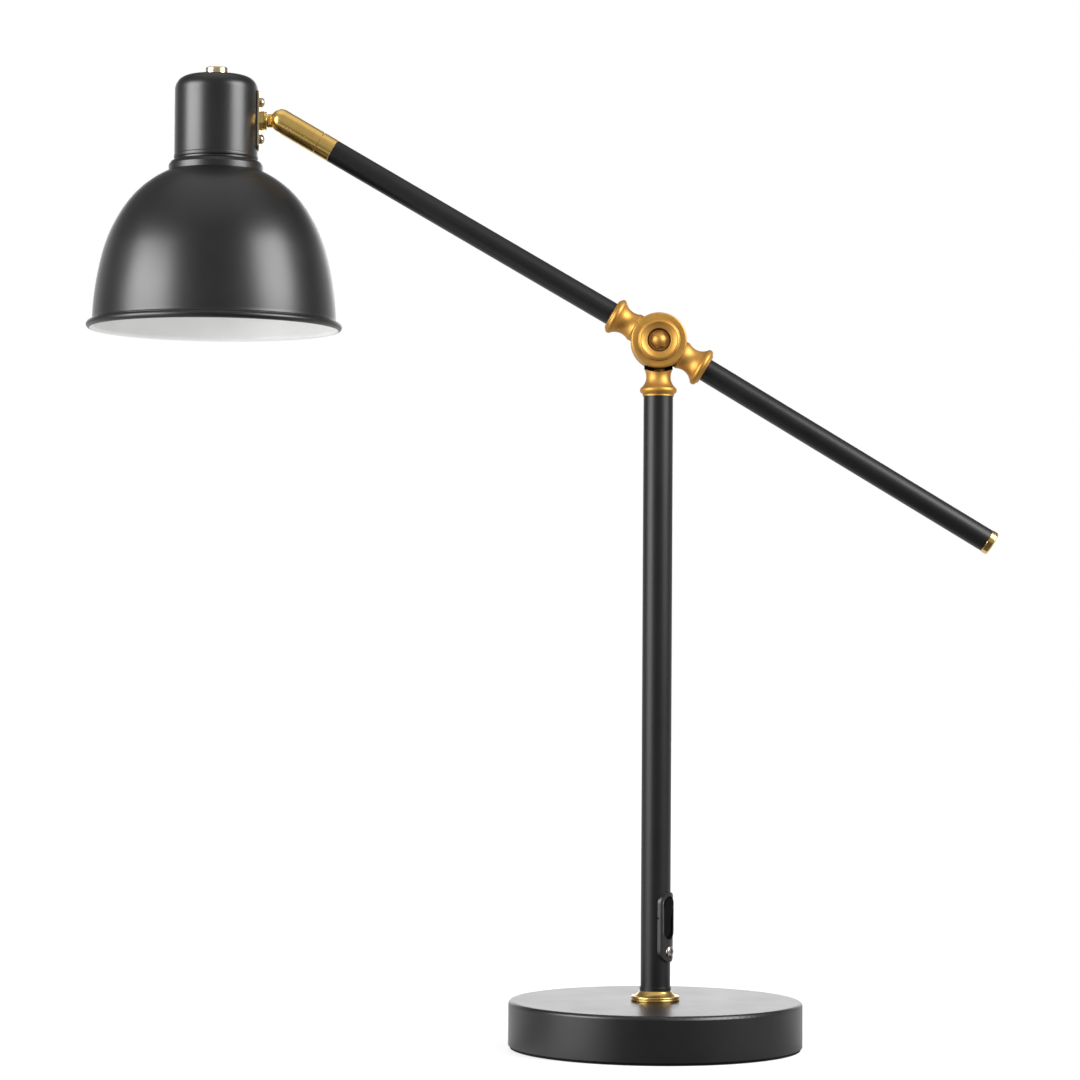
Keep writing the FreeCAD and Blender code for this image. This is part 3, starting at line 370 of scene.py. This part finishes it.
LOOK = {
    "base_felt_pad": FELT, "base_shell": COAT, "base_weight": IRON, "base_collar": POLISHED,
    "column_foot_ring": COAT_POST, "base_nipple": STEEL, "base_lock_nut": STEEL,
    "base_lock_washer": STEEL, "cord_inlet_bush": RUBBER, "column_tube": COAT_POST,
    "column_foot_plug": STEEL, "switch_bezel": PLASTIC, "switch_body": PLASTIC,
    "switch_rocker_pin": STEEL, "switch_screw": SCREW, "column_knuckle": ANTIQUE_REAR_GAP_SHADE,
    "column_top_sleeve": STEEL, "hub_bolt": STEEL, "hub_cap_nut": ANTIQUE,
    "hub_friction_disc": NYLON, "hub_seal_ring": RUBBER, "hub_front_washer": COPPERY,
    "hub_rear_washer": ANTIQUE, "supply_lead": SHEATH, "column_lead": SHEATH,
    "switch_rocker": GLOSS,
    "arm_knuckle": ANTIQUE, "long_arm_tube": COAT_POST, "counter_arm_tube": COAT_POST,
    "long_arm_sleeve": STEEL, "counter_arm_sleeve": STEEL, "counterweight_rod": STEEL,
    "counter_arm_end_cap": POLISHED_END, "long_arm_collar": SATIN, "long_arm_lead": SHEATH,
    "swivel_barrel": SATIN, "swivel_retaining_ring": STEEL, "swivel_seat_cup": NYLON,
    "swivel_spring_washers": STEEL,
    "swivel_stem": SATIN_STEM, "stem_nut": SATIN_STEM, "stem_inner_nut": STEEL, "hinge_plate": PALE,
    "hinge_gasket": RUBBER, "hinge_screws": PALE_SCREWS, "hinge_screw_nuts": STEEL, "shade": COAT,
    "shade_cap": COAT, "cap_finial": PALE_TURNED, "socket_nipple": STEEL, "cap_lock_nut": STEEL,
    "cap_lock_washer": STEEL, "lamp_socket": PHENOLIC, "socket_screw_shell": SHEET_BRASS,
    "socket_contact": SHEET_BRASS, "bulb_cap": ALU, "bulb_glass": GLASS,
}

# finish on the construction pieces, with softened edges where they show
BEVEL = {
    "base_shell": 0.0, "column_foot_ring": 0.0, "cord_inlet_bush": 0.00015, "switch_bezel": 0.0003,
    "switch_screw": 0.00012, "switch_rocker": 0.0004, "hub_cap_nut": 0.00018, "hub_bolt": 0.00018,
    "hub_front_washer": 0.00012, "hub_rear_washer": 0.00012, "counter_arm_end_cap": 0.0,
    "stem_nut": 0.00025, "hinge_plate": 0.0002, "hinge_screws": 0.00012, "hinge_gasket": 0.0001,
    "lamp_socket": 0.0003, "base_lock_nut": 0.0002, "cap_lock_nut": 0.0002,
}
for name, obj in N.items():
    obj.data.materials.clear()
    obj.data.materials.append(LOOK[name])
    for p in obj.data.polygons:
        p.use_smooth = True
    obj.data.set_sharp_from_angle(angle=math.radians(32))
    if BEVEL.get(name):
        m = obj.modifiers.new("soft_edges", "BEVEL")
        m.width = BEVEL[name]
        m.segments = 2
        m.limit_method = "ANGLE"
        m.angle_limit = math.radians(40)
        m.harden_normals = False


# ------------------------------------------------------------------ making
def put(name, verts, faces, mats, body, matrix=None, smooth=32, indices=None):
    me = bpy.data.meshes.new(name)
    me.from_pydata(verts, [], faces)
    for m in (mats if isinstance(mats, (list, tuple)) else [mats]):
        me.materials.append(m)
    if indices is not None:
        me.polygons.foreach_set("material_index", indices)
    me.polygons.foreach_set("use_smooth", [True] * len(me.polygons))
    if matrix is not None:
        me.transform(matrix)
    me.update()
    me.set_sharp_from_angle(angle=math.radians(smooth))
    ob = bpy.data.objects.new(name, me)
    scene.collection.objects.link(ob)
    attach(ob, body)
    return ob


def lathe(name, profile, mats, body, matrix=None, segs=256, pick=None, closed=True, smooth=32):
    """Turned piece: profile is a closed loop of (radius, height) in mm."""
    verts, faces, idx = [], [], []
    n = len(profile)
    rings = []
    for r, z in profile:
        if r < 1e-6:
            verts.append((0.0, 0.0, z * MM))
            rings.append([len(verts) - 1])
        else:
            ring = []
            for k in range(segs):
                a = 2 * math.pi * k / segs
                verts.append((r * MM * math.cos(a), r * MM * math.sin(a), z * MM))
                ring.append(len(verts) - 1)
            rings.append(ring)
    for i in range(n if closed else n - 1):
        a, b = rings[i], rings[(i + 1) % n]
        if len(a) == 1 and len(b) == 1:
            continue
        mi = pick(i) if pick else 0
        for k in range(segs):
            k2 = (k + 1) % segs
            if len(a) == 1:
                faces.append((a[0], b[k2], b[k]))
            elif len(b) == 1:
                faces.append((a[k], a[k2], b[0]))
            else:
                faces.append((a[k], a[k2], b[k2], b[k]))
            idx.append(mi)
    return put(name, verts, faces, mats, body, matrix, smooth, idx)


def arc_pts(c, r, a0, a1, n):
    return [(c[0] + r * math.cos(a0 + (a1 - a0) * i / n), c[1] + r * math.sin(a0 + (a1 - a0) * i / n))
            for i in range(n + 1)]


def rounded(points, steps=6):
    """Closed loop with rounded corners: points are (r, z) or (r, z, fillet)."""
    out = []
    n = len(points)
    for i in range(n):
        p = points[i]
        if len(p) < 3 or p[2] <= 0:
            out.append((p[0], p[1]))
            continue
        a, b, c = Vector(points[i - 1][:2]), Vector(p[:2]), Vector(points[(i + 1) % n][:2])
        u, v = (a - b).normalized(), (c - b).normalized()
        ang = math.acos(max(-1.0, min(1.0, u.dot(v))))
        if ang > math.pi - 0.02:
            out.append((p[0], p[1]))
            continue
        t = p[2] / math.tan(ang / 2)
        t = min(t, 0.49 * (a - b).length, 0.49 * (c - b).length)
        r = t * math.tan(ang / 2)
        q0, q1 = b + u * t, b + v * t
        bis = (u + v).normalized()
        cen = b + bis * (r / math.sin(ang / 2))
        s = math.atan2(q0.y - cen.y, q0.x - cen.x)
        e = math.atan2(q1.y - cen.y, q1.x - cen.x)
        while e - s > math.pi:
            e -= 2 * math.pi
        while e - s < -math.pi:
            e += 2 * math.pi
        out += arc_pts(cen, r, s, e, steps)
    return out


HEAD_M = Matrix.Translation(HEAD)
BASE_M = Matrix.Identity(4)
LONG_M = along(LONG, HUB)
SHORT_M = along(SHORT, HUB)

# --- shade: black outside and over the rolled rim, white inside
C1, R1 = (-101.0968, -1.0630), 167.2956
C2, R2 = (-17.2104, 20.7960), 80.6079
C3, R3 = (2.1326, 34.5353), 56.8820
A12, A23 = math.radians(14.6053), math.radians(35.3862)
W = 0.9


def ang_at_z(c, r, z):
    return math.asin((z - c[1]) / r)


def ang_at_r(c, r, x):
    return math.acos((x - c[0]) / r)


outer = arc_pts(C1, R1, ang_at_z(C1, R1, 4.9), A12, 24)
outer += arc_pts(C2, R2, A12, A23, 22)[1:]
outer += arc_pts(C3, R3, A23, ang_at_r(C3, R3, 25.6), 26)[1:]
neck = rounded([(25.6, outer[-1][1]), (25.6, 89.5, 0.8), (24.6, 91.2, 1.2), (22.7, 92.2, 0.35),
                (22.7, 88.5), (20.5, 88.5, 0.3)][0:6], 5)[1:]
inner = arc_pts(C3, R3 - W, ang_at_r(C3, R3 - W, 20.5), A23, 26)
inner += arc_pts(C2, R2 - W, A23, A12, 22)[1:]
inner += arc_pts(C1, R1 - W, A12, ang_at_z(C1, R1 - W, 2.4), 24)[1:]
bead_c = (67.3, 2.0)
bead = arc_pts(bead_c, 2.0, math.radians(188), math.radians(360 + 108), 30)
blend = arc_pts((66.95, 5.05), 0.85, math.radians(262), math.radians(196), 6)
prof = outer + neck + inner + bead + blend[1:-1]
n_out, n_neck, n_in = len(outer), len(neck), len(inner)


def shade_side(i):
    # the white coat starts inside the neck lip and ends under the rolled rim
    if n_out + n_neck - 2 <= i < n_out + n_neck + n_in + 9:
        return 1
    return 0


shade = lathe("shade_visual", prof, [COAT, WHITE], "head", HEAD_M, 320, shade_side)
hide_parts("shade")

# ------------------------------------------------------------------- stage
def map_range(t, src, a, b, c, d):
    n = t.nodes.new("ShaderNodeMapRange")
    n.interpolation_type = "SMOOTHSTEP"
    n.clamp = True
    for k, v in zip(("From Min", "From Max", "To Min", "To Max"), (a, b, c, d)):
        n.inputs[k].default_value = v
    t.links.new(src, n.inputs["Value"])
    return n.outputs["Result"]


def calc(t, op, a, b):
    n = t.nodes.new("ShaderNodeMath")
    n.operation = op
    for k, v in enumerate((a, b)):
        if isinstance(v, (int, float)):
            n.inputs[k].default_value = v
        else:
            t.links.new(v, n.inputs[k])
    return n.outputs[0]


def stage_floor():
    """A pale sweep: lit paper to the eye, with its own brightness in reflections."""
    me = bpy.data.meshes.new("floor")
    r, n = 6.0, 128
    verts = [(0, 0, 0)] + [(r * math.cos(2 * math.pi * k / n), r * math.sin(2 * math.pi * k / n), 0)
                           for k in range(n)]
    me.from_pydata(verts, [], [(0, 1 + k, 1 + (k + 1) % n) for k in range(n)])
    ob = bpy.data.objects.new("floor", me)
    ob.location = (0, 0, -0.0002)
    scene.collection.objects.link(ob)
    m = bpy.data.materials.new("pale_floor")
    m.use_nodes = True
    t = m.node_tree
    b = next(x for x in t.nodes if x.type == "BSDF_PRINCIPLED")
    out = next(x for x in t.nodes if x.type == "OUTPUT_MATERIAL")
    b.inputs["Roughness"].default_value = 0.7
    b.inputs["Specular IOR Level"].default_value = 0.1
    lp = t.nodes.new("ShaderNodeLightPath")
    co = t.nodes.new("ShaderNodeTexCoord")
    ln = t.nodes.new("ShaderNodeVectorMath")
    ln.operation = "LENGTH"
    t.links.new(co.outputs["Object"], ln.inputs[0])
    seen = map_range(t, ln.outputs["Value"], 0.35, 1.6, 0.62, 1.0)
    xyz = t.nodes.new("ShaderNodeSeparateXYZ")
    t.links.new(co.outputs["Object"], xyz.inputs[0])
    # 0 towards the viewer, turning right: dark ahead, bright to the left, pale behind
    az = calc(t, "ARCTAN2", xyz.outputs["X"], calc(t, "MULTIPLY", xyz.outputs["Y"], -1.0))
    side = map_range(t, calc(t, "ABSOLUTE", az, 0.0), math.radians(28), math.radians(64), 0.10, 0.52)
    left = calc(t, "MULTIPLY", map_range(t, az, math.radians(-84), math.radians(-64), 0.0, 0.55),
                map_range(t, az, math.radians(-52), math.radians(-36), 1.0, 0.0))
    rear = map_range(t, calc(t, "ABSOLUTE", az, 0.0), math.radians(80), math.radians(120), 0.0, 0.35)
    mirrored = calc(t, "ADD", rear, calc(t, "ADD", side, left))
    glow = calc(t, "ADD",
                calc(t, "MULTIPLY", seen, lp.outputs["Is Camera Ray"]),
                calc(t, "ADD",
                     calc(t, "MULTIPLY", mirrored, lp.outputs["Is Glossy Ray"]),
                     calc(t, "MULTIPLY", 0.95, lp.outputs["Is Diffuse Ray"])))
    em = t.nodes.new("ShaderNodeEmission")
    t.links.new(glow, em.inputs["Strength"])
    gray = t.nodes.new("ShaderNodeCombineColor")
    tone = calc(t, "MULTIPLY", calc(t, "SUBTRACT", 1.0, seen), lp.outputs["Is Camera Ray"])
    for i in range(3):
        t.links.new(tone, gray.inputs[i])
    t.links.new(gray.outputs[0], b.inputs["Base Color"])
    add = t.nodes.new("ShaderNodeAddShader")
    t.links.new(b.outputs[0], add.inputs[0])
    t.links.new(em.outputs[0], add.inputs[1])
    t.links.new(add.outputs[0], out.inputs["Surface"])
    me.materials.append(m)
    return ob


stage_floor()

# the studio: white to the eye; in reflections a bright backdrop low behind the
# lamp, a bright ceiling and a softer front
world = bpy.data.worlds.new("studio")
scene.world = world
world.use_nodes = True
wt = world.node_tree
bg = next(n for n in wt.nodes if n.type == "BACKGROUND")
lp = wt.nodes.new("ShaderNodeLightPath")
tc = wt.nodes.new("ShaderNodeTexCoord")
sx = wt.nodes.new("ShaderNodeSeparateXYZ")
wt.links.new(tc.outputs["Generated"], sx.inputs[0])
behind = calc(wt, "MULTIPLY", map_range(wt, sx.outputs["Y"], 0.45, 0.9, 0.0, 1.0),
              calc(wt, "MULTIPLY", map_range(wt, sx.outputs["Z"], 0.04, 0.12, 0.35, 1.0),
                   map_range(wt, sx.outputs["Z"], 0.22, 0.42, 1.0, 0.0)))
behind = calc(wt, "MULTIPLY", behind,
              map_range(wt, calc(wt, "ABSOLUTE", sx.outputs["X"], 0.0), 0.18, 0.50, 1.0, 0.30))
ceiling = map_range(wt, sx.outputs["Z"], 0.74, 0.97, 0.0, 0.75)
front = map_range(wt, sx.outputs["Y"], -0.9, 0.2, 0.40, 0.20)
around = calc(wt, "ADD", calc(wt, "MULTIPLY", behind, 3.0), calc(wt, "ADD", ceiling, front))
mx = wt.nodes.new("ShaderNodeMix")
mx.data_type = "FLOAT"
wt.links.new(lp.outputs["Is Camera Ray"], mx.inputs["Factor"])
wt.links.new(around, mx.inputs[2])
mx.inputs[3].default_value = 1.0
wt.links.new(mx.outputs[0], bg.inputs["Strength"])
bg.inputs["Color"].default_value = (1, 1, 1, 1)


def softbox(name, pos, aim, w, h, radiance, spread=180):
    d = bpy.data.lights.new(name, "AREA")
    d.shape = "RECTANGLE"
    d.size, d.size_y = w, h
    d.energy = math.pi * w * h * radiance
    d.spread = math.radians(spread)
    o = bpy.data.objects.new(name, d)
    o.location = pos
    o.rotation_mode = "QUATERNION"
    o.rotation_quaternion = (Vector(aim) - Vector(pos)).to_track_quat("-Z", "Y")
    o.visible_camera = False
    scene.collection.objects.link(o)
    return o


softbox("key_left", (-1.56, -0.75, 0.89), (-0.20, 0.0, 0.50), 1.24, 0.70, 12.6)
softbox("key_left_low", (-1.56, -0.75, 0.29), (-0.20, 0.0, 0.29), 1.24, 0.52, 5.6)
softbox("fill_right", (1.15, -0.60, 1.00), (-0.20, 0.0, 0.45), 0.96, 0.96, 13.2)

cam_d = bpy.data.cameras.new("camera")
cam = bpy.data.objects.new("camera", cam_d)
scene.collection.objects.link(cam)
cam_d.sensor_width = 36.0
cam_d.lens = 3268.5 / 1080.0 * 36.0
cam_d.clip_start, cam_d.clip_end = 0.05, 50.0
PITCH, ROLL = math.radians(1.944), math.radians(0.365)
cam.matrix_world = (Matrix.Translation((-0.06375, -1.77111, 0.21346))
                    @ Matrix.Rotation(math.pi / 2 + PITCH, 4, "X") @ Matrix.Rotation(ROLL, 4, "Z"))
scene.camera = cam
scene.view_settings.view_transform = "Standard"
scene.view_settings.look = "None"
scene.view_settings.exposure = 0.0
scene.view_settings.gamma = 1.0
